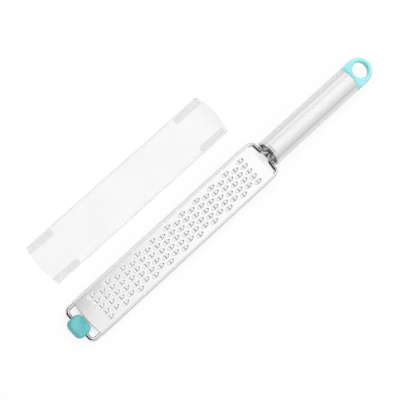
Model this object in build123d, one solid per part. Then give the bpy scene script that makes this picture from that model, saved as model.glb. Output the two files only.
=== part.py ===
from build123d import *
from math import acos, asin, atan2, cos, degrees, hypot, radians, sin
import os

# A rasp zester and its clear blade cover, in millimetres. The tool is drawn in its own frame: X runs
# from the foot at the tip to the hanging hole, and the origin is the middle of the frame's crossbar,
# on the axis of the handle. It is then laid on the table, on its foot and the rim of its handle.

# Bent wire frame
WIRE_DIAMETER = 3.4
WIRE_SPACING = 32.2
BLADE_TO_NECK = 4.4
NECK_SLANT = 1.0
NECK_SLANT_HALF_WIDTH = 5.4
NECK_TO_MEETING = 4.9
MEETING_TO_END = 37.0
WIRE_PAIR_GAP = 0.1
CORNER_RADIUS = 4.0
NECK_BEND_RADIUS = 3.0

# Toothed blade, a sheet whose long edges are rolled round the wires
SHEET_THICKNESS = 0.4
CROSSBAR_TO_BLADE = 8.1
BLADE_LENGTH = 195.5
BLADE_TIP_BOW = 1.3
BLADE_NECK_BOW = 0.6
ROLL_CLEARANCE = 0.02
ROLL_DEGREES = 225

# Teeth, pressed in staggered columns: each is slit across, one side up and the other down
TOOTH_COLUMN_COUNT = 21
LONG_COLUMN_TOOTH_COUNT = 5
SHORT_COLUMN_TOOTH_COUNT = 4
ROW_PITCH = 5.55
TIP_MARGIN = 15.3
NECK_MARGIN = 14.2
TOOTH_WIDTH = 3.8
TOOTH_RISE = 1.0
TOOTH_REACH_SHARE = 0.445
ARCH_FACET_COUNT = 4

# Soft foot on the crossbar
FOOT_LENGTH = 14.0
FOOT_WIDTH = 17.8
FOOT_HEIGHT = 10.3
FOOT_DROP = 5.9
FOOT_CORNER_RADIUS = 5.2
FOOT_TOP_RADIUS = 3.0
FOOT_BOTTOM_CHAMFER = 1.5
FOOT_BORE_CLEARANCE = 0.02

# Tubular handle, with the pressed cup that closes its front
NECK_TO_HANDLE = 6.8
HANDLE_LENGTH = 92.6
HANDLE_DIAMETER = 23.0
HANDLE_WALL = 1.0
BORE_CLEARANCE = 0.05
RIM_OVERHANG = 0.5
RIM_BEAD_RADIUS = 1.35
RIM_BEAD_FORWARD = 1.0
BEAD_SIDE_COUNT = 12
CUP_DEPTH = 4.5
CUP_WALL = 0.7
CUP_SLOT_CLEARANCE = 0.05

# Plug inside the handle that holds the ends of the wire
SOCKET_LENGTH = 34.0
SOCKET_BORE_CLEARANCE = 0.02
SOCKET_CHAMFER = 0.6

# Hanging cap
CAP_OVERHANG = 0.2
CAP_LENGTH = 23.9
CAP_SPIGOT_LENGTH = 16.0
CAP_SHOULDER = 0.5
CAP_SCOOP_RADIUS = 5.0
LOOP_THICKNESS = 9.0
HANDLE_TO_HOLE = 13.3
HOLE_DIAMETER = 13.4
HOLE_EDGE_CHAMFER = 1.0

# Clear blade cover, a shallow channel with a retaining lip at each corner
COVER_LENGTH = 195.3
COVER_BOW = 3.6
COVER_WALL = 1.2
COVER_SIDE_CLEARANCE = 0.2
COVER_INNER_HEIGHT = 6.0
COVER_OUTER_RADIUS = 1.6
COVER_LIP_LENGTH = 28.5
COVER_LIP_REACH = 5.3
COVER_LIP_END_RADIUS = 2.0
COVER_TO_TOOL = 55.4
COVER_CARRY_HEIGHT = 60.0

wire_radius = WIRE_DIAMETER / 2
half_spacing = WIRE_SPACING / 2
roll_inside = wire_radius + ROLL_CLEARANCE
roll_outside = roll_inside + SHEET_THICKNESS
blade_width = WIRE_SPACING + 2 * roll_outside
column_pitch = (BLADE_LENGTH - TIP_MARGIN - NECK_MARGIN) / (TOOTH_COLUMN_COUNT - 1)
tooth_reach = column_pitch * TOOTH_REACH_SHARE
neck_x = CROSSBAR_TO_BLADE + BLADE_LENGTH + BLADE_TO_NECK
meeting_x = neck_x + NECK_TO_MEETING
handle_x = neck_x + NECK_TO_HANDLE
pair_offset = wire_radius + WIRE_PAIR_GAP / 2
handle_end_x = handle_x + HANDLE_LENGTH
bore_fit_radius = HANDLE_DIAMETER / 2 - HANDLE_WALL - BORE_CLEARANCE
rim_radius = HANDLE_DIAMETER / 2 + RIM_OVERHANG
cap_radius = HANDLE_DIAMETER / 2 + CAP_OVERHANG
cap_diameter = 2 * cap_radius
cap_ball_x = handle_end_x + CAP_LENGTH - cap_radius
hole_x = handle_end_x + HANDLE_TO_HOLE
cover_inside = blade_width + 2 * COVER_SIDE_CLEARANCE
cover_width = cover_inside + 2 * COVER_WALL
cover_height = COVER_INNER_HEIGHT + 2 * COVER_WALL

# The tool lies on its level foot and on the handle's rim, so it rises a little towards the handle.
tilt = degrees(atan2(rim_radius, handle_x) - asin(FOOT_DROP / hypot(rim_radius, handle_x)))
middle_x = (cap_ball_x * cos(radians(tilt)) + cap_radius - FOOT_LENGTH / 2) / 2
middle_y = (COVER_TO_TOOL + cover_width / 2 - blade_width / 2) / 2
on_table = Pos(-middle_x, -middle_y, 0)
lay_tool = Pos(-middle_x, -middle_y, FOOT_DROP) * Rot(0, -tilt, 0)


def rod(start, end, radius):
    """A round bar on the handle's axis, from one X to another."""
    return Pos((start + end) / 2, 0, 0) * Rot(0, 90, 0) * Cylinder(radius, end - start)


def bowed_plan(start, length, width, start_bow, end_bow):
    """Flat outline with straight sides whose two ends bow outwards, seen from above."""
    half = width / 2
    end = start + length
    outline = [
        ThreePointArc((start + start_bow, -half), (start, 0), (start + start_bow, half)),
        Line((start + start_bow, half), (end - end_bow, half)),
        ThreePointArc((end - end_bow, half), (end, 0), (end - end_bow, -half)),
        Line((end - end_bow, -half), (start + start_bow, -half)),
    ]
    return make_face(outline)


def wire_frame():
    """One wire: its ends side by side in the handle, out along both sides, across at the tip."""
    one_side = [
        (meeting_x + MEETING_TO_END, pair_offset),
        (meeting_x, pair_offset),
        (neck_x + NECK_SLANT, NECK_SLANT_HALF_WIDTH),
        (neck_x, half_spacing),
        (0, half_spacing),
    ]
    other_side = [(x, -y) for x, y in reversed(one_side)]
    bends = [NECK_BEND_RADIUS, NECK_BEND_RADIUS, CORNER_RADIUS, CORNER_RADIUS]
    path = FilletPolyline(*one_side, *other_side, radius=bends + bends[::-1])
    return sweep(Plane(path @ 0, z_dir=path % 0) * Circle(wire_radius), path=path)


def rolled_edge(side):
    """Section of the sheet where it wraps round one wire."""
    start = 90 - ROLL_DEGREES
    outer = CenterArc((half_spacing, 0), roll_outside, start, ROLL_DEGREES)
    inner = CenterArc((half_spacing, 0), roll_inside, start, ROLL_DEGREES)
    wrap = make_face([outer, inner, Line(outer @ 0, inner @ 0), Line(outer @ 1, inner @ 1)])
    return wrap if side > 0 else mirror(wrap, Plane.YZ)


def arch(radius, centre_drop, base):
    """Faceted arch in the slit's plane, closed by a straight line at the height of its base."""
    reach = acos((centre_drop + base) / radius)
    angles = [reach * (2 * step / ARCH_FACET_COUNT - 1) for step in range(ARCH_FACET_COUNT + 1)]
    return [(radius * sin(angle), radius * cos(angle) - centre_drop) for angle in angles]


def pressed_half(points):
    """The arch drawn out down its slope until it runs into the sheet."""
    slope = Vector(tooth_reach, 0, -TOOTH_RISE)
    bar = extrude(Plane.YZ * make_face(Polyline(*points, close=True)), 2 * slope.length, dir=slope)
    block = Box(
        2 * tooth_reach,
        2 * TOOTH_WIDTH,
        TOOTH_RISE + SHEET_THICKNESS,
        align=(Align.MIN, Align.CENTER, Align.MIN),
    )
    return bar & (Pos(0, 0, -SHEET_THICKNESS) * block)


def blade():
    """Sheet with rolled long edges, bowed ends and staggered slit teeth that open towards the tip."""
    sheet = Pos(0, roll_inside + SHEET_THICKNESS / 2) * Rectangle(WIRE_SPACING, SHEET_THICKNESS)
    section = sheet + rolled_edge(1) + rolled_edge(-1)
    bar = extrude(Plane.YZ.offset(CROSSBAR_TO_BLADE) * section, BLADE_LENGTH)
    plan = bowed_plan(CROSSBAR_TO_BLADE, BLADE_LENGTH, blade_width, BLADE_TIP_BOW, BLADE_NECK_BOW)
    body = bar & extrude(plan, roll_outside, both=True)

    half_width = TOOTH_WIDTH / 2
    arch_radius = (half_width * half_width + TOOTH_RISE * TOOTH_RISE) / (2 * TOOTH_RISE)
    centre_drop = arch_radius - TOOTH_RISE
    feet = [(half_width, -SHEET_THICKNESS), (-half_width, -SHEET_THICKNESS)]
    raised = pressed_half(arch(arch_radius, centre_drop, 0) + feet)
    hollow = pressed_half(arch(arch_radius - SHEET_THICKNESS, centre_drop, -SHEET_THICKNESS))
    turn_over = Pos(0, 0, -SHEET_THICKNESS) * Rot(0, 180, 0)

    metal, gaps = [], []
    for column in range(TOOTH_COLUMN_COUNT):
        rows = SHORT_COLUMN_TOOTH_COUNT if column % 2 else LONG_COLUMN_TOOTH_COUNT
        x = CROSSBAR_TO_BLADE + TIP_MARGIN + column * column_pitch
        for row in range(rows):
            spot = Pos(x, (row - (rows - 1) / 2) * ROW_PITCH, roll_outside)
            metal += [spot * raised, spot * turn_over * raised]
            gaps += [spot * hollow, spot * turn_over * hollow]
    return body.fuse(*metal).cut(*gaps)


def tip_foot():
    """Level rubber block, rounded all round, threaded on the crossbar."""
    block = Box(FOOT_LENGTH, FOOT_WIDTH, FOOT_HEIGHT, align=(Align.CENTER, Align.CENTER, Align.MIN))
    block = fillet(block.edges().filter_by(Axis.Z), FOOT_CORNER_RADIUS)
    block = fillet(block.faces().sort_by(Axis.Z)[-1].edges(), FOOT_TOP_RADIUS)
    block = chamfer(block.faces().sort_by(Axis.Z)[0].edges(), FOOT_BOTTOM_CHAMFER)
    bore = Rot(90, 0, 0) * Cylinder(wire_radius + FOOT_BORE_CLEARANCE, 2 * FOOT_WIDTH)
    return block - Pos(0, 0, FOOT_DROP) * bore


def handle_tube():
    """Thin steel tube, open at both ends."""
    outside = rod(handle_x, handle_end_x, HANDLE_DIAMETER / 2)
    return outside - rod(handle_x, handle_end_x, HANDLE_DIAMETER / 2 - HANDLE_WALL)


def ferrule_cup():
    """Pressed cup in the tube's mouth: a rolled rim on the tube's end, a dished floor with a slot."""
    floor_x = handle_x + CUP_DEPTH
    bead_x = handle_x - RIM_BEAD_FORWARD
    bead = Pos(bead_x, rim_radius - RIM_BEAD_RADIUS) * RegularPolygon(RIM_BEAD_RADIUS, BEAD_SIDE_COUNT)
    behind_rim = Pos(handle_x, 0) * Rectangle(
        HANDLE_DIAMETER, 2 * HANDLE_DIAMETER, align=(Align.MIN, Align.CENTER)
    )
    wall = Pos(bead_x, bore_fit_radius) * Rectangle(
        CUP_DEPTH + RIM_BEAD_FORWARD, CUP_WALL, align=(Align.MIN, Align.MAX)
    )
    floor = Pos(floor_x, 0) * Rectangle(CUP_WALL, bore_fit_radius, align=(Align.MAX, Align.MIN))
    profile = bead - behind_rim + wall + floor
    turned = revolve(Plane.XZ * profile, Axis.X)
    slot_radius = wire_radius + CUP_SLOT_CLEARANCE
    slot_face = SlotCenterToCenter(2 * pair_offset, 2 * slot_radius)
    slot = extrude(Plane.YZ.offset(floor_x - CUP_DEPTH / 2) * slot_face, CUP_DEPTH)
    return turned - slot


def wire_socket():
    """Plastic plug inside the tube, behind the cup, with a blind hole for each end of the wire."""
    start = handle_x + CUP_DEPTH
    wire_end = meeting_x + MEETING_TO_END
    plug = rod(start, start + SOCKET_LENGTH, bore_fit_radius)
    plug = chamfer(plug.edges().filter_by(GeomType.CIRCLE), SOCKET_CHAMFER)
    hole = rod(start, wire_end, wire_radius + SOCKET_BORE_CLEARANCE)
    return plug - Pos(0, pair_offset, 0) * hole - Pos(0, -pair_offset, 0) * hole


def hanging_cap():
    """Round-ended plastic cap on a spigot, scooped above and below to a flat loop with a hole."""
    body = rod(handle_end_x, cap_ball_x, cap_radius) + Pos(cap_ball_x, 0, 0) * Sphere(cap_radius)
    half_loop = LOOP_THICKNESS / 2
    scoop_x = handle_end_x + CAP_SHOULDER
    side_lines = FilletPolyline(
        (scoop_x, cap_diameter),
        (scoop_x, half_loop),
        (scoop_x + cap_diameter, half_loop),
        radius=CAP_SCOOP_RADIUS,
    )
    corner = (scoop_x + cap_diameter, cap_diameter)
    scoop_face = make_face([side_lines, Line(side_lines @ 1, corner), Line(corner, side_lines @ 0)])
    scoop = extrude(Plane.XZ * scoop_face, cap_diameter, both=True)
    body = body - scoop - mirror(scoop, Plane.XY)
    body = body - Pos(hole_x, 0, 0) * Cylinder(HOLE_DIAMETER / 2, cap_diameter)
    rims = body.edges().filter_by(GeomType.CIRCLE).filter_by(
        lambda edge: abs(edge.radius - HOLE_DIAMETER / 2) < HOLE_EDGE_CHAMFER / 2
    )
    body = chamfer(rims, HOLE_EDGE_CHAMFER)
    return body + rod(handle_end_x - CAP_SPIGOT_LENGTH, handle_end_x, bore_fit_radius)


def cover_lip(end, side):
    """One retaining lip: a tongue along the foot of a side wall, rounded at its inner corner."""
    lip_x = COVER_LENGTH / 2 - COVER_LIP_LENGTH
    lip_y = cover_inside / 2 - COVER_LIP_REACH
    tongue = Pos(lip_x, lip_y) * Rectangle(COVER_LENGTH, cover_width, align=(Align.MIN, Align.MIN))
    tongue = fillet(tongue.vertices().sort_by(Axis.X)[:2].sort_by(Axis.Y)[0], COVER_LIP_END_RADIUS)
    return extrude(scale(tongue, (end, side, 1)), COVER_WALL)


def blade_cover():
    """Clear channel, open at both bowed ends, upside up, with its lips on the table."""
    section = Rectangle(cover_width, cover_height, align=(Align.CENTER, Align.MIN))
    section = fillet(section.vertices().group_by(Axis.Y)[-1], COVER_OUTER_RADIUS)
    channel = Rectangle(cover_inside, cover_height - COVER_WALL, align=(Align.CENTER, Align.MIN))
    body = extrude(Plane.YZ * (section - channel), COVER_LENGTH / 2, both=True)
    lips = [cover_lip(end, side) for end in (-1, 1) for side in (-1, 1)]
    plan = bowed_plan(-COVER_LENGTH / 2, COVER_LENGTH, cover_width, COVER_BOW, COVER_BOW)
    return (body + lips) & extrude(plan, cover_height)


blade_middle_x = (CROSSBAR_TO_BLADE + BLADE_LENGTH / 2) * cos(radians(tilt))
pieces = {
    "wire_frame": lay_tool * wire_frame(),
    "grating_blade": lay_tool * blade(),
    "tip_foot": on_table * tip_foot(),
    "handle_tube": lay_tool * handle_tube(),
    "ferrule_cup": lay_tool * ferrule_cup(),
    "wire_socket": lay_tool * wire_socket(),
    "hanging_cap": lay_tool * hanging_cap(),
    "blade_cover": on_table * Pos(blade_middle_x, COVER_TO_TOOL, 0) * blade_cover(),
}

os.makedirs("parts", exist_ok=True)
for name, shape in pieces.items():
    export_step(shape, f"parts/{name}.step")

hole_place = (lay_tool * Pos(hole_x, 0, 0)).position
print("tilt of the tool, degrees:", round(tilt, 5))
print("hanging hole centre:", [round(value, 4) for value in hole_place])
print("hanging hole axis:", round(-sin(radians(tilt)), 6), 0, round(cos(radians(tilt)), 6))
print("hanging hole wall length:", round(LOOP_THICKNESS - 2 * HOLE_EDGE_CHAMFER, 4))
print("foot centre:", round(-middle_x, 4), round(-middle_y, 4))
print("cover centre:", round(blade_middle_x - middle_x, 4), round(COVER_TO_TOOL - middle_y, 4))
print("cover travel:", round(hypot(COVER_TO_TOOL, COVER_CARRY_HEIGHT), 4))
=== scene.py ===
from math import acos, asin, copysign, cos, pi, radians, sin

import bmesh
import bpy
from mathutils import Matrix, Vector


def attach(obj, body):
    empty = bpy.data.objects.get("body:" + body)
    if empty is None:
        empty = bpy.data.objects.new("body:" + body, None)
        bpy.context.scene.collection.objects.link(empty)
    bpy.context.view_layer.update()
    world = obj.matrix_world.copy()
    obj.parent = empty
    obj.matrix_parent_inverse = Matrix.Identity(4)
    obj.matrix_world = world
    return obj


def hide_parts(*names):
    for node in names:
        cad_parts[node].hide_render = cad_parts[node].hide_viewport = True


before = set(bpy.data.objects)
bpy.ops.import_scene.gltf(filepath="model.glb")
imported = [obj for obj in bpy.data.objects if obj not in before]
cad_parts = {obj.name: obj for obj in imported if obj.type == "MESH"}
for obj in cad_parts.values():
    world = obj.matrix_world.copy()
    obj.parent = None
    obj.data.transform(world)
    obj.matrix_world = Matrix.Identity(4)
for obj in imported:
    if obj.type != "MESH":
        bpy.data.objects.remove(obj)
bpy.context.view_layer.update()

# The wire frame: one bent round steel wire, polished. Both its ends stand side by side in the handle,
# it spreads at the neck, follows the two long edges of the blade and crosses over at the tip. All the
# steel pieces are drawn in the tool's own frame, in millimetres, and laid down by tool_place.
TIP_X = -0.1620857
TOOL_Y = -0.0284
AXIS_HEIGHT = 0.0059
TOOL_TILT = radians(1.62604)
WIRE_RADIUS = 1.7
HALF_SPACING = 16.1
NECK_X = 208.0
WIRE_ROUTE = [(249.9, 1.75), (212.9, 1.75), (209.0, 5.4), (NECK_X, HALF_SPACING), (0, HALF_SPACING), (0, 0)]
WIRE_BENDS = [3.0, 3.0, 4.0, 4.0]
WIRE_FACES = 24
BEND_STEPS = 10
NEAR = 0.01
MERGE = 0.001
TONE_STOPS = (0.3, 0.7)
STREAK_SHADE = 0.94
tool_place = (
    Matrix.Translation((TIP_X, TOOL_Y, AXIS_HEIGHT))
    @ Matrix.Rotation(-TOOL_TILT, 4, "Y")
    @ Matrix.Scale(0.001, 4)
)


def varied(name, light, dark, roughness, spread, coarse, fine, strength, depth, stretch=None):
    """A surface: a coarse noise varies its colour, and a fine one its gloss and its relief. Each noise is
    given as scale and detail, and a stretch lays both along the tool."""
    material = bpy.data.materials.new(name)
    material.use_nodes = True
    nodes, links = material.node_tree.nodes, material.node_tree.links
    shader = nodes["Principled BSDF"]
    place = nodes.new("ShaderNodeTexCoord").outputs["Object"]
    if stretch:
        laid = nodes.new("ShaderNodeMapping")
        laid.inputs["Rotation"].default_value = (0, TOOL_TILT, 0)
        laid.inputs["Scale"].default_value = stretch
        links.new(place, laid.inputs["Vector"])
        place = laid.outputs["Vector"]
    noises = []
    for scale, detail in (coarse, fine):
        noise = nodes.new("ShaderNodeTexNoise")
        noise.inputs["Scale"].default_value = scale
        noise.inputs["Detail"].default_value = detail
        links.new(place, noise.inputs["Vector"])
        noises.append(noise.outputs["Fac"])
    cloud, grain = noises
    tone = nodes.new("ShaderNodeValToRGB")
    for stop, position, colour in zip(tone.color_ramp.elements, TONE_STOPS, (dark, light)):
        stop.position = position
        stop.color = (*colour, 1)
    links.new(cloud, tone.inputs["Fac"])
    links.new(tone.outputs["Color"], shader.inputs["Base Color"])
    gloss = nodes.new("ShaderNodeMapRange")
    gloss.inputs["To Min"].default_value = roughness * spread[0]
    gloss.inputs["To Max"].default_value = roughness * spread[1]
    links.new(grain, gloss.inputs["Value"])
    links.new(gloss.outputs["Result"], shader.inputs["Roughness"])
    relief = nodes.new("ShaderNodeBump")
    relief.inputs["Strength"].default_value = strength
    relief.inputs["Distance"].default_value = depth
    links.new(grain, relief.inputs["Height"])
    links.new(relief.outputs["Normal"], shader.inputs["Normal"])
    return material, shader


def steel(name, colour, roughness, coarse, fine, stretch, depth):
    """Metal with soft streaks: they vary its shade, its gloss and its surface a little."""
    material, shader = varied(
        name, colour, [STREAK_SHADE * part for part in colour], roughness, spread=(0.8, 1.25),
        coarse=(coarse, 4.0), fine=(fine, 3.0), strength=0.25, depth=depth, stretch=stretch,
    )
    shader.inputs["Metallic"].default_value = 1.0
    return material


def moulded(name, light, dark, roughness, mottle, pebble, depth):
    """Moulded rubber or plastic: cloudy colour, and a fine skin that breaks up its gloss."""
    return varied(
        name, light, dark, roughness, spread=(0.85, 1.2), coarse=(mottle, 2.0), fine=(pebble, 2.0),
        strength=0.3, depth=depth,
    )


def hand_in(bm, name, body, material, node, sharp=35, place=tool_place):
    """Lays a drawn mesh in its place and makes it the piece that stands for a solid of the frame."""
    bmesh.ops.transform(bm, matrix=place, verts=bm.verts)
    for face in bm.faces:
        face.smooth = True
    mesh = bpy.data.meshes.new(name)
    bm.to_mesh(mesh)
    bm.free()
    mesh.set_sharp_from_angle(angle=radians(sharp))
    mesh.materials.append(material)
    piece = bpy.data.objects.new(name, mesh)
    bpy.context.scene.collection.objects.link(piece)
    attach(piece, body)
    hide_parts(node)
    return piece


def drawn_wire(route, bends, radius):
    """A round bar drawn along the route's runs and spun round each of its bends."""
    bm = bmesh.new()
    points = [Vector((x, y, 0)) for x, y in route]
    heading = (points[1] - points[0]).normalized()
    turn = heading.to_track_quat("Z", "Y").to_matrix().to_4x4()
    ring = bmesh.ops.create_circle(
        bm, cap_ends=True, segments=WIRE_FACES, radius=radius, matrix=Matrix.Translation(points[0]) @ turn
    )["verts"]
    edges = [edge for edge in bm.edges if all(vert in ring for vert in edge.verts)]
    here = points[0]
    for index in range(1, len(points)):
        last = index == len(points) - 1
        if not last:
            after = (points[index + 1] - points[index]).normalized()
            angle = heading.angle(after)
            side = 1 if heading.cross(after).z > 0 else -1
            bend = bends[index - 1]
            stop = points[index] - heading * bend * sin(angle / 2) / cos(angle / 2)
        else:
            stop = points[index]
        grown = bmesh.ops.extrude_edge_only(bm, edges=edges)["geom"]
        ring = [item for item in grown if isinstance(item, bmesh.types.BMVert)]
        edges = [item for item in grown if isinstance(item, bmesh.types.BMEdge)]
        bmesh.ops.translate(bm, vec=stop - here, verts=ring)
        here = stop
        if not last:
            centre = here + Vector((-heading.y, heading.x, 0)) * bend * side
            spun = bmesh.ops.spin(
                bm, geom=edges, cent=centre, axis=(0, 0, side), angle=angle, steps=BEND_STEPS, dvec=(0, 0, 0)
            )["geom_last"]
            edges = [item for item in spun if isinstance(item, bmesh.types.BMEdge)]
            here = centre + Matrix.Rotation(angle * side, 3, "Z") @ (here - centre)
            heading = after
    bmesh.ops.mirror(bm, geom=bm.verts[:] + bm.edges[:] + bm.faces[:], axis="Y", merge_dist=MERGE)
    bmesh.ops.remove_doubles(bm, verts=bm.verts, dist=MERGE)
    bmesh.ops.recalc_face_normals(bm, faces=bm.faces)
    return bm


polished_wire = steel("polished_wire", (0.9, 0.89, 0.92), roughness=0.05, coarse=60, fine=900,
                      stretch=(0.3, 1, 1), depth=0.00001)
hand_in(drawn_wire(WIRE_ROUTE, WIRE_BENDS, WIRE_RADIUS), "polished_wire_frame", "zester",
        polished_wire, "wire_frame", sharp=60)


# The toothed blade: thin bright steel sheet, slit across and pressed open at each slit, the handle side
# up to a cutting edge and the tip side down. The long edges step up over the two wires and are rolled
# round them, which is all that holds the blade. Its tip end is turned down a little.
SHEET = 0.4
SHEET_TOP = 2.12
BLADE_START = 8.1
BLADE_END = 203.6
TIP_BOW = 1.3
NECK_BOW = 0.6
COLUMNS = 21
LONG_ROWS = 5
SHORT_ROWS = 4
COLUMN_PITCH = 8.3
ROW_PITCH = 5.55
FIRST_COLUMN_X = 23.4
TOOTH_HALF_WIDTH = 1.9
TOOTH_REACH = 3.69
TOOTH_RISE = 1.2
TOOTH_DIP = 0.6
TOOTH_FULLNESS = 0.65
HEM_DROP = 0.3
HEM_START = 15.75
HEM_LEAD = 0.15
END_DROP = 0.08
END_STEPS = (0.1, 0.5, 0.975, 0.985, 1)
STEPS_ALONG = 10
STEPS_ACROSS = 14
ROLL = radians(225)
ROLL_STEPS = 15
half_width = HALF_SPACING + SHEET_TOP


def nearest_tooth(x, y):
    """Place of a point from the middle of the tooth in whose cell it lies, or None beside the teeth."""
    column = round((x - FIRST_COLUMN_X) / COLUMN_PITCH)
    column = min(max(column, 0), COLUMNS - 1)
    rows = SHORT_ROWS if column % 2 else LONG_ROWS
    row = round(y / ROW_PITCH + (rows - 1) / 2)
    if row < 0 or row >= rows:
        return None
    return x - FIRST_COLUMN_X - column * COLUMN_PITCH, y - (row - (rows - 1) / 2) * ROW_PITCH


def pressed_height(along, across):
    """Share of the tooth's full height at a distance from the slit: an oval dome with steeper edges."""
    inside = 1 - (across / TOOTH_HALF_WIDTH) ** 2 - (along / TOOTH_REACH) ** 2
    return max(inside, 0) ** TOOTH_FULLNESS


def rasp_blade():
    """Flat sheet, slit, pressed, rolled along both long edges, cut to its bowed ends and given its wall."""
    bm = bmesh.new()
    length = COLUMNS * COLUMN_PITCH
    width = LONG_ROWS * ROW_PITCH
    middle = FIRST_COLUMN_X + (COLUMNS - 1) / 2 * COLUMN_PITCH
    bmesh.ops.create_grid(
        bm, x_segments=COLUMNS * 2 * STEPS_ALONG, y_segments=LONG_ROWS * STEPS_ACROSS, size=0.5,
        matrix=Matrix.Translation((middle, 0, SHEET_TOP - HEM_DROP)) @ Matrix.Diagonal((length, width, 1, 1)),
    )
    slit = []
    for edge in bm.edges:
        place = nearest_tooth(*((edge.verts[0].co + edge.verts[1].co) / 2).xy)
        along_y = abs(edge.verts[0].co.x - edge.verts[1].co.x) < NEAR
        if place and along_y and abs(place[0]) < NEAR and abs(place[1]) < TOOTH_HALF_WIDTH:
            slit.append(edge)
    bmesh.ops.split_edges(bm, edges=slit)
    for vert in bm.verts:
        place = nearest_tooth(vert.co.x, vert.co.y)
        if place:
            behind = sum(face.calc_center_median().x - vert.co.x for face in vert.link_faces)
            if abs(place[0]) < NEAR and abs(behind) < NEAR:
                continue
            raised = behind > 0 if abs(place[0]) < NEAR else place[0] > 0
            vert.co.z += pressed_height(*place) * (TOOTH_RISE if raised else -TOOTH_DIP)
    for side in (-1, 1):
        rim = side * width / 2
        edges = [edge for edge in bm.edges if all(abs(vert.co.y - rim) < NEAR for vert in edge.verts)]
        here = width / 2
        for reach, rise in ((HEM_START - HEM_LEAD, 0), (HEM_START, 0), (HALF_SPACING, HEM_DROP)):
            grown = bmesh.ops.extrude_edge_only(bm, edges=edges)["geom"]
            verts = [item for item in grown if isinstance(item, bmesh.types.BMVert)]
            edges = [item for item in grown if isinstance(item, bmesh.types.BMEdge)]
            bmesh.ops.translate(bm, vec=(0, side * (reach - here), rise), verts=verts)
            here = reach
        bmesh.ops.spin(
            bm, geom=edges, cent=(0, side * HALF_SPACING, 0), axis=(-side, 0, 0), angle=ROLL,
            steps=ROLL_STEPS, dvec=(0, 0, 0),
        )
    for start, end, bow, drop in (
        (middle - length / 2, BLADE_START, TIP_BOW, END_DROP),
        (middle + length / 2, BLADE_END, -NECK_BOW, 0),
    ):
        edges = [edge for edge in bm.edges if all(abs(vert.co.x - start) < NEAR for vert in edge.verts)]
        for share in END_STEPS:
            grown = bmesh.ops.extrude_edge_only(bm, edges=edges)["geom"]
            edges = [item for item in grown if isinstance(item, bmesh.types.BMEdge)]
            for vert in [item for item in grown if isinstance(item, bmesh.types.BMVert)]:
                vert.co.x = start + share * (end + bow * (vert.co.y / half_width) ** 2 - start)
                if share == 1 and abs(vert.co.y) < HEM_START:
                    vert.co.z -= drop
    bmesh.ops.recalc_face_normals(bm, faces=bm.faces)
    if sum(face.normal.z * face.calc_area() for face in bm.faces if face.calc_center_median().z > 1) < 0:
        bmesh.ops.reverse_faces(bm, faces=bm.faces)
    bmesh.ops.solidify(bm, geom=bm.faces[:], thickness=SHEET)
    return bm


blade_steel = steel("blade_steel", (0.98, 0.98, 0.985), roughness=0.09, coarse=12, fine=700,
                    stretch=(0.15, 1, 1), depth=0.000012)
hand_in(rasp_blade(), "pressed_blade", "zester", blade_steel, "grating_blade", sharp=40)


# The foot: a soft turquoise rubber block threaded on the crossbar, rounded all round. It keeps the tip
# of the tool from sliding, and its underside is flat.
FOOT_SIZE = (14.0, 17.8, 10.3)
FOOT_CORNER = 5.2
FOOT_TOP_ROUND = 3.0
FOOT_BOTTOM_ROUND = 1.5
table_place = Matrix.Translation((TIP_X, TOOL_Y, 0)) @ Matrix.Scale(0.001, 4)


def flat_loop(bm, height):
    """The edges that lie level at one height."""
    return [edge for edge in bm.edges if all(abs(vert.co.z - height) < NEAR for vert in edge.verts)]


def rounded(bm, edges, amount, steps):
    """Rounds some edges of a mesh in a number of steps."""
    bmesh.ops.bevel(
        bm, geom=edges, offset=amount, offset_type="OFFSET", segments=steps, profile=0.5, affect="EDGES",
        material=-1, clamp_overlap=True,
    )


def rubber_block():
    """A cube of the foot's size, its corners rounded first and then its top and bottom edges."""
    bm = bmesh.new()
    length, width, height = FOOT_SIZE
    bmesh.ops.create_cube(
        bm, size=1,
        matrix=Matrix.Translation((0, 0, height / 2)) @ Matrix.Diagonal((length, width, height, 1)),
    )
    upright = [edge for edge in bm.edges if abs(edge.verts[0].co.z - edge.verts[1].co.z) > NEAR]
    rounded(bm, upright, FOOT_CORNER, steps=10)
    rounded(bm, flat_loop(bm, height), FOOT_TOP_ROUND, steps=8)
    rounded(bm, flat_loop(bm, 0), FOOT_BOTTOM_ROUND, steps=4)
    bmesh.ops.recalc_face_normals(bm, faces=bm.faces)
    return bm


foot_rubber, foot_shader = moulded(
    "foot_rubber", light=(0.19, 0.57, 0.58), dark=(0.105, 0.455, 0.485), roughness=0.55, mottle=150,
    pebble=2500, depth=0.00004,
)
foot_shader.inputs["Subsurface Weight"].default_value = 0.1
foot_shader.inputs["Subsurface Radius"].default_value = (0.002, 0.004, 0.004)
foot_shader.inputs["Subsurface Scale"].default_value = 0.5
hand_in(rubber_block(), "rubber_foot", "zester", foot_rubber, "tip_foot", sharp=50,
        place=table_place)


# The handle: a thin satin steel tube, brushed round and then along, with both ends open. The front end
# carries the rolled cup and the back end the plastic cap.
HANDLE_X = 214.8
HANDLE_END_X = 307.4
HANDLE_RADIUS = 11.5
HANDLE_WALL = 1.0
EDGE_BREAK = 0.15
FRONT_EDGE_ROUND = 0.4
TURN_STEPS = 128


def turned(outline):
    """A closed section, given as distances along and out from the handle's axis, turned round it."""
    bm = bmesh.new()
    verts = [bm.verts.new((x, 0, radius)) for x, radius in outline]
    edges = [bm.edges.new(pair) for pair in zip(verts, verts[1:] + verts[:1])]
    bmesh.ops.spin(
        bm, geom=verts + edges, cent=(0, 0, 0), axis=(1, 0, 0), angle=2 * pi, steps=TURN_STEPS,
        use_merge=True,
    )
    bmesh.ops.remove_doubles(bm, verts=bm.verts, dist=MERGE)
    bmesh.ops.recalc_face_normals(bm, faces=bm.faces)
    return bm


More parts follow.
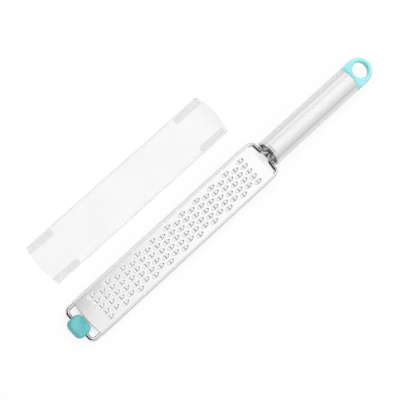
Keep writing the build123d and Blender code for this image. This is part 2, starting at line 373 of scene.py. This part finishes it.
inner = HANDLE_RADIUS - HANDLE_WALL
tube_section = [
    (HANDLE_X, inner + EDGE_BREAK),
    (HANDLE_X, HANDLE_RADIUS - FRONT_EDGE_ROUND),
    (HANDLE_X + FRONT_EDGE_ROUND * 0.4, HANDLE_RADIUS - FRONT_EDGE_ROUND * 0.3),
    (HANDLE_X + FRONT_EDGE_ROUND, HANDLE_RADIUS),
    (HANDLE_X + FRONT_EDGE_ROUND * 1.3, HANDLE_RADIUS),
    (HANDLE_END_X - EDGE_BREAK, HANDLE_RADIUS),
    (HANDLE_END_X, HANDLE_RADIUS - EDGE_BREAK),
    (HANDLE_END_X, inner + EDGE_BREAK),
    (HANDLE_END_X - EDGE_BREAK, inner),
    (HANDLE_X + EDGE_BREAK, inner),
]
handle_steel = steel("handle_steel", (0.94, 0.94, 0.94), roughness=0.28, coarse=25, fine=1200,
                     stretch=(0.04, 1, 1), depth=0.00002)
handle_steel.node_tree.nodes["Principled BSDF"].inputs["Metallic"].default_value = 0.75
hand_in(turned(tube_section), "satin_handle", "zester", handle_steel, "handle_tube")


# The front cup: pressed and polished steel. Its rolled rim sits on the end of the tube, a slightly squared
# bead that leans towards the handle, and its dished floor lets the two ends of the wire through.
RIM_RADIUS = 11.99
BEAD_RADIUS = 1.35
BEAD_FORWARD = 1.0
BEAD_SQUARENESS = 3
BEAD_LEAN = 0.2
LEAN_START = -0.5
BEAD_STEPS = 28
CUP_DEPTH = 4.5
CUP_WALL = 0.7
CUP_OUTSIDE = 10.45
FLOOR_ROUND = 1.6
FLOOR_STEPS = 6


def rolled_cup():
    """The rim's bead from the tube's end forwards and round, then the wall and the dished floor."""
    bead_middle = RIM_RADIUS - BEAD_RADIUS
    bend = 2 / BEAD_SQUARENESS
    seat_angle = acos((BEAD_FORWARD / BEAD_RADIUS) ** (1 / bend))
    wall_inside = CUP_OUTSIDE - CUP_WALL
    last_angle = 2 * pi - asin(((bead_middle - wall_inside) / BEAD_RADIUS) ** (1 / bend))
    outline = []
    for step in range(BEAD_STEPS + 1):
        angle = seat_angle + (last_angle - seat_angle) * step / BEAD_STEPS
        outline.append((
            HANDLE_X - BEAD_FORWARD + copysign(BEAD_RADIUS * abs(cos(angle)) ** bend, cos(angle)),
            bead_middle + copysign(BEAD_RADIUS * abs(sin(angle)) ** bend, sin(angle))
            - BEAD_LEAN * max(sin(angle), 0) * (cos(angle) - LEAN_START),
        ))
    floor_front = HANDLE_X + CUP_DEPTH - CUP_WALL
    for step in range(FLOOR_STEPS + 1):
        angle = pi / 2 * step / FLOOR_STEPS
        outline.append((
            floor_front - FLOOR_ROUND + FLOOR_ROUND * sin(angle),
            wall_inside - FLOOR_ROUND + FLOOR_ROUND * cos(angle),
        ))
    outline += [
        (floor_front, 0),
        (floor_front + CUP_WALL, 0),
        (floor_front + CUP_WALL, CUP_OUTSIDE - FLOOR_ROUND),
        (floor_front + CUP_WALL - FLOOR_ROUND, CUP_OUTSIDE),
        (HANDLE_X, CUP_OUTSIDE),
    ]
    return turned(outline)


rim_steel = steel("rim_steel", (0.97, 0.97, 0.98), roughness=0.08, coarse=40, fine=900,
                  stretch=(1, 1, 1), depth=0.000003)
hand_in(rolled_cup(), "rolled_cup", "zester", rim_steel, "ferrule_cup", sharp=60)


# The plug inside the tube: plain moulded plastic that grips both ends of the wire behind the cup. It
# can't be seen once the handle is closed.
plug_plastic, _ = moulded(
    "plug_plastic", light=(0.52, 0.52, 0.5), dark=(0.42, 0.42, 0.41), roughness=0.5, mottle=120,
    pebble=1800, depth=0.00003,
)
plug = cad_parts["wire_socket"]
plug.data.materials.clear()
plug.data.materials.append(plug_plastic)


# The hanging cap: light aqua plastic, moulded in one with the spigot that holds it in the tube. Its end
# is round, both faces are scooped to a flat loop, and the hole through it has rounded edges and flares
# towards the underside.
WELD = 0.000002
CAP_VOXEL = 0.00035
SMOOTHING_PASSES = 4
HOLE_X = 320.7
HOLE_RADIUS = 6.7
HOLE_FLARE = 0.35
FLARE_REACH = 2.5
FLARE_AT_AXIS = 1.6
FLARE_FADE_HEIGHT = 5


def solid_copy(node):
    """A copy of a solid of the frame with its loose faces joined up."""
    bm = bmesh.new()
    bm.from_mesh(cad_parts[node].data)
    bmesh.ops.remove_doubles(bm, verts=bm.verts, dist=WELD)
    return bm


cap_plastic, cap_shader = moulded(
    "cap_plastic", light=(0.43, 0.8, 0.83), dark=(0.33, 0.76, 0.76), roughness=0.2, mottle=110,
    pebble=1500, depth=0.00001,
)
cap_shader.inputs["Subsurface Weight"].default_value = 0.5
cap_shader.inputs["Subsurface Radius"].default_value = (0.003, 0.01, 0.01)
cap_shader.inputs["Subsurface Scale"].default_value = 0.5
cap_copy = bpy.data.meshes.new("cap_copy")
cap_bm = solid_copy("hanging_cap")
cap_bm.to_mesh(cap_copy)
cap_bm.free()
cap_rough = bpy.data.objects.new("cap_rough", cap_copy)
bpy.context.scene.collection.objects.link(cap_rough)
remesh = cap_rough.modifiers.new("even_mesh", "REMESH")
remesh.mode = "VOXEL"
remesh.voxel_size = CAP_VOXEL
even = bpy.data.meshes.new_from_object(cap_rough.evaluated_get(bpy.context.evaluated_depsgraph_get()))
bpy.data.objects.remove(cap_rough)
cap_bm = bmesh.new()
cap_bm.from_mesh(even)
for _ in range(SMOOTHING_PASSES):
    bmesh.ops.smooth_vert(
        cap_bm, verts=cap_bm.verts, factor=0.5, use_axis_x=True, use_axis_y=True, use_axis_z=True
    )
to_tool = tool_place.inverted()
for vert in cap_bm.verts:
    place = to_tool @ vert.co
    from_hole = Vector((place.x - HOLE_X, place.y, 0))
    fade = 1 - max(from_hole.length - HOLE_RADIUS, 0) / FLARE_REACH
    if fade > 0:
        flare = HOLE_FLARE * fade * (FLARE_AT_AXIS - place.z / FLARE_FADE_HEIGHT)
        vert.co = tool_place @ (place + from_hole.normalized() * flare)
hand_in(cap_bm, "aqua_cap", "zester", cap_plastic, "hanging_cap", sharp=80,
        place=Matrix.Identity(4))


# The blade cover: a shallow channel moulded in clear plastic, its own edges slightly rounded. Its ends bow
# outwards, and a lip at each corner snaps under the blade's rolled edges. Below the lips' top the plastic is
# tinted a little darker.
COVER_EDGE = 0.0005
LIP_TOP = 0.0013
LIP_FADE = 0.0004
LIP_TINT = 0.96
REFRACTION = 1.22


def overlaid(tree, blend_type, below, above):
    """Output of a colour that is laid over another at full strength."""
    mix = tree.nodes.new("ShaderNodeMix")
    mix.data_type = "RGBA"
    mix.blend_type = blend_type
    mix.inputs["Factor"].default_value = 1.0
    tree.links.new(below, mix.inputs["A"])
    tree.links.new(above, mix.inputs["B"])
    return mix.outputs["Result"]


clear_plastic, clear_shader = moulded(
    "clear_plastic", light=(0.845, 0.845, 0.845), dark=(0.82, 0.82, 0.82), roughness=0.04, mottle=30,
    pebble=700, depth=0.000002,
)
clear_shader.inputs["Transmission Weight"].default_value = 1.0
clear_shader.inputs["IOR"].default_value = REFRACTION
tree = clear_plastic.node_tree
# The clear plastic's tint is made a little darker, by LIP_TINT, below the height LIP_TOP, where the lips are.
low = tree.nodes.new("ShaderNodeSeparateXYZ")
tree.links.new(tree.nodes["Texture Coordinate"].outputs["Object"], low.inputs["Vector"])
lip_darkening = tree.nodes.new("ShaderNodeMapRange")
lip_darkening.inputs["From Min"].default_value = LIP_TOP
lip_darkening.inputs["From Max"].default_value = LIP_TOP + LIP_FADE
lip_darkening.inputs["To Min"].default_value = LIP_TINT
tree.links.new(low.outputs["Z"], lip_darkening.inputs["Value"])
tinted = overlaid(tree, "MULTIPLY", tree.nodes["Color Ramp"].outputs["Color"], lip_darkening.outputs["Result"])
tree.links.new(tinted, clear_shader.inputs["Base Color"])
cover_bm = solid_copy("blade_cover")
bmesh.ops.dissolve_limit(cover_bm, angle_limit=radians(2), verts=cover_bm.verts, edges=cover_bm.edges)
cover = hand_in(cover_bm, "clear_cover", "cover", clear_plastic, "blade_cover",
                sharp=30, place=Matrix.Identity(4))
rounding = cover.modifiers.new("rounded_edges", "BEVEL")
rounding.width = COVER_EDGE
rounding.segments = 3
rounding.limit_method = "ANGLE"
rounding.angle_limit = radians(35)
cover.visible_shadow = False


# The studio: a pale floor that keeps a soft shadow, two large lamps that stay out of the reflections,
# and a bright surround. The floor's shadow is partly the lamps' own, and partly painted: its white glow fades
# where the tool covers it. Only reflections see the surround's pattern, which is dark towards the tip and
# dimmer low down and in a ring halfway up. They see the floor dimmed too.
FLOOR_HALF_WIDTH = 2.5
FLOOR_GLOW_SEEN = 0.85
FLOOR_GLOW_MIRRORED = 0.27
FLOOR_DIMMED = 0.27
SHADOW_REACH = 0.03
SHADOW_DEEP = 0.06
SHADOW_END = 0.28


def calculation(tree, operation, first, second):
    """A sum, difference or product kept between 0 and 1; its second value is an output or a number."""
    node = tree.nodes.new("ShaderNodeMath")
    node.operation = operation
    node.use_clamp = True
    tree.links.new(first, node.inputs[0])
    if isinstance(second, float):
        node.inputs[1].default_value = second
    else:
        tree.links.new(second, node.inputs[1])
    return node.outputs[0]


bm = bmesh.new()
bmesh.ops.create_grid(bm, x_segments=1, y_segments=1, size=FLOOR_HALF_WIDTH)
floor_mesh = bpy.data.meshes.new("floor")
bm.to_mesh(floor_mesh)
bm.free()
floor_paper = bpy.data.materials.new("floor_paper")
floor_paper.use_nodes = True
tree = floor_paper.node_tree
nodes, links = tree.nodes, tree.links
paper = nodes["Principled BSDF"]
paper.inputs["Base Color"].default_value = (0.93, 0.93, 0.93, 1)
paper.inputs["Roughness"].default_value = 0.9
glow = nodes.new("ShaderNodeEmission")
glow.inputs["Color"].default_value = (1, 1, 1, 1)
ray = nodes.new("ShaderNodeLightPath")
seen = calculation(tree, "ADD", ray.outputs["Is Camera Ray"], ray.outputs["Is Transmission Ray"])
mirrored = calculation(tree, "SUBTRACT", ray.outputs["Is Glossy Ray"], seen)
strength = nodes.new("ShaderNodeMapRange")
strength.inputs["To Min"].default_value = 1.0
strength.inputs["To Max"].default_value = FLOOR_DIMMED
links.new(mirrored, strength.inputs["Value"])
links.new(strength.outputs["Result"], glow.inputs["Strength"])
share = calculation(
    tree, "ADD",
    calculation(tree, "MULTIPLY", seen, FLOOR_GLOW_SEEN),
    calculation(tree, "MULTIPLY", mirrored, FLOOR_GLOW_MIRRORED),
)
# Painted contact shadow: ambient occlusion takes the glow away where the floor is covered, so the lamp-lit
# paper shows there.
sky = nodes.new("ShaderNodeAmbientOcclusion")
sky.inputs["Distance"].default_value = SHADOW_REACH
sky.samples = 8
outside_painted_shadow = nodes.new("ShaderNodeMapRange")
outside_painted_shadow.interpolation_type = "SMOOTHSTEP"
outside_painted_shadow.inputs["From Min"].default_value = SHADOW_DEEP
outside_painted_shadow.inputs["From Max"].default_value = SHADOW_END
links.new(sky.outputs["AO"], outside_painted_shadow.inputs["Value"])
blend = nodes.new("ShaderNodeMixShader")
links.new(calculation(tree, "MULTIPLY", share, outside_painted_shadow.outputs["Result"]), blend.inputs["Fac"])
links.new(paper.outputs["BSDF"], blend.inputs[1])
links.new(glow.outputs["Emission"], blend.inputs[2])
links.new(blend.outputs["Shader"], nodes["Material Output"].inputs["Surface"])
floor_mesh.materials.append(floor_paper)
floor = bpy.data.objects.new("floor", floor_mesh)
bpy.context.scene.collection.objects.link(floor)

for name, place, size, power in (
    ("overhead_lamp", (0.5, 0.35, 1.5), 1.4, 17.5),
    ("side_lamp", (-0.7, -0.8, 1.2), 1.2, 6),
):
    lamp = bpy.data.lights.new(name, "AREA")
    lamp.size = size
    lamp.energy = power
    lamp_object = bpy.data.objects.new(name, lamp)
    lamp_object.location = place
    lamp_object.rotation_euler = (-Vector(place)).to_track_quat("-Z", "Y").to_euler()
    lamp_object.visible_glossy = False
    bpy.context.scene.collection.objects.link(lamp_object)

# The surround's pattern: along goes dark towards the tip, on a slant right above the blade, beside
# lightens that dark half on the tool's two sides, across dims the far sides, and height dims two levels.
SURROUND_LIGHT = 0.42
SLANT = 0.2
LEAN_RANGE = (-0.9, 1.1)

world = bpy.data.worlds.new("surround")
bpy.context.scene.world = world
world.use_nodes = True
tree = world.node_tree
nodes, links = tree.nodes, tree.links
nodes.clear()
direction = nodes.new("ShaderNodeTexCoord")
parts = nodes.new("ShaderNodeSeparateXYZ")
links.new(direction.outputs["Generated"], parts.inputs["Vector"])
slant = nodes.new("ShaderNodeValToRGB")
slanted = nodes.new("ShaderNodeMath")
slanted.operation = "MULTIPLY_ADD"
slanted.inputs[1].default_value = SLANT
links.new(slant.outputs["Color"], slanted.inputs[0])
links.new(parts.outputs["X"], slanted.inputs[2])
lean = nodes.new("ShaderNodeMapRange")
lean.inputs["From Min"].default_value, lean.inputs["From Max"].default_value = LEAN_RANGE
links.new(slanted.outputs[0], lean.inputs["Value"])
along = nodes.new("ShaderNodeValToRGB")
beside = nodes.new("ShaderNodeValToRGB")
across = nodes.new("ShaderNodeValToRGB")
height = nodes.new("ShaderNodeValToRGB")
for ramp, stops in (
    (slant, ((0.0, 0.5), (0.475, 0.5), (0.489, 1.0), (0.511, 0.05), (0.53, 0.5), (1.0, 0.5))),
    (along, ((0.0, 0.03), (0.518, 0.01), (0.545, 0.4), (0.558, 0.78), (0.572, 1.0), (0.9, 1.0), (0.935, 0.03),
             (1.0, 0.03))),
    (beside, ((0.0, 0.95), (0.25, 0.95), (0.32, 0.0), (0.7, 0.0), (0.78, 0.6), (1.0, 0.7))),
    (across, ((0.0, 0.62), (0.1, 0.68), (0.17, 1.0), (0.97, 1.0), (0.99, 0.7))),
    (height, ((0.0, 0.5), (0.12, 0.55), (0.28, 1.0), (0.56, 1.0), (0.68, 0.7), (0.75, 0.7), (0.86, 1.0))),
):
    first_stop, last_stop = ramp.color_ramp.elements
    first_stop.position, first_stop.color = stops[0][0], (*[stops[0][1]] * 3, 1)
    last_stop.position, last_stop.color = stops[-1][0], (*[stops[-1][1]] * 3, 1)
    for position, level in stops[1:-1]:
        ramp.color_ramp.elements.new(position).color = (level, level, level, 1)
links.new(lean.outputs["Result"], along.inputs["Fac"])
side_lean = nodes.new("ShaderNodeMapRange")
side_lean.inputs["From Min"].default_value = -1
links.new(parts.outputs["Y"], side_lean.inputs["Value"])
links.new(side_lean.outputs["Result"], across.inputs["Fac"])
links.new(side_lean.outputs["Result"], beside.inputs["Fac"])
links.new(side_lean.outputs["Result"], slant.inputs["Fac"])
links.new(parts.outputs["Z"], height.inputs["Fac"])
pattern = overlaid(tree, "LIGHTEN", along.outputs["Color"], beside.outputs["Color"])
pattern = overlaid(tree, "MULTIPLY", pattern, height.outputs["Color"])
pattern = overlaid(tree, "MULTIPLY", pattern, across.outputs["Color"])
soft = nodes.new("ShaderNodeBackground")
soft.inputs["Color"].default_value = (1, 1, 1, 1)
soft.inputs["Strength"].default_value = SURROUND_LIGHT
plain = nodes.new("ShaderNodeBackground")
plain.inputs["Color"].default_value = (1, 1, 1, 1)
reflected = nodes.new("ShaderNodeBackground")
links.new(pattern, reflected.inputs["Color"])
ray = nodes.new("ShaderNodeLightPath")
through = calculation(tree, "ADD", ray.outputs["Is Camera Ray"], ray.outputs["Is Transmission Ray"])
first = nodes.new("ShaderNodeMixShader")
links.new(ray.outputs["Is Glossy Ray"], first.inputs["Fac"])
links.new(soft.outputs["Background"], first.inputs[1])
links.new(reflected.outputs["Background"], first.inputs[2])
second = nodes.new("ShaderNodeMixShader")
links.new(through, second.inputs["Fac"])
links.new(first.outputs["Shader"], second.inputs[1])
links.new(plain.outputs["Background"], second.inputs[2])
surround = nodes.new("ShaderNodeOutputWorld")
links.new(second.outputs["Shader"], surround.inputs["Surface"])
bpy.context.scene.view_settings.view_transform = "Standard"

# The camera stands above the tip end, 1.4 metres off, and is rolled so that the handle points to the
# upper right.
CAMERA_TARGET = Vector((-0.0189, -0.0187, 0.00996))
CAMERA_LEAN = radians(15.626)
CAMERA_DISTANCE = 1.4
HANDLE_ANGLE = radians(42.3)
SENSOR_WIDTH = 36
FOCAL_LENGTH = 154.4

back = Vector((-sin(CAMERA_LEAN), 0, cos(CAMERA_LEAN)))
shown_x = (Vector((1, 0, 0)) - back * back.x).normalized()
shown_y = back.cross(shown_x)
right = shown_x * cos(HANDLE_ANGLE) - shown_y * sin(HANDLE_ANGLE)
up = shown_x * sin(HANDLE_ANGLE) + shown_y * cos(HANDLE_ANGLE)
lens = bpy.data.cameras.new("camera")
lens.sensor_width = SENSOR_WIDTH
lens.lens = FOCAL_LENGTH
camera = bpy.data.objects.new("camera", lens)
camera.matrix_world = Matrix.Translation(CAMERA_TARGET + back * CAMERA_DISTANCE) @ Matrix(
    (right, up, back)
).transposed().to_4x4()
bpy.context.scene.collection.objects.link(camera)
bpy.context.scene.camera = camera
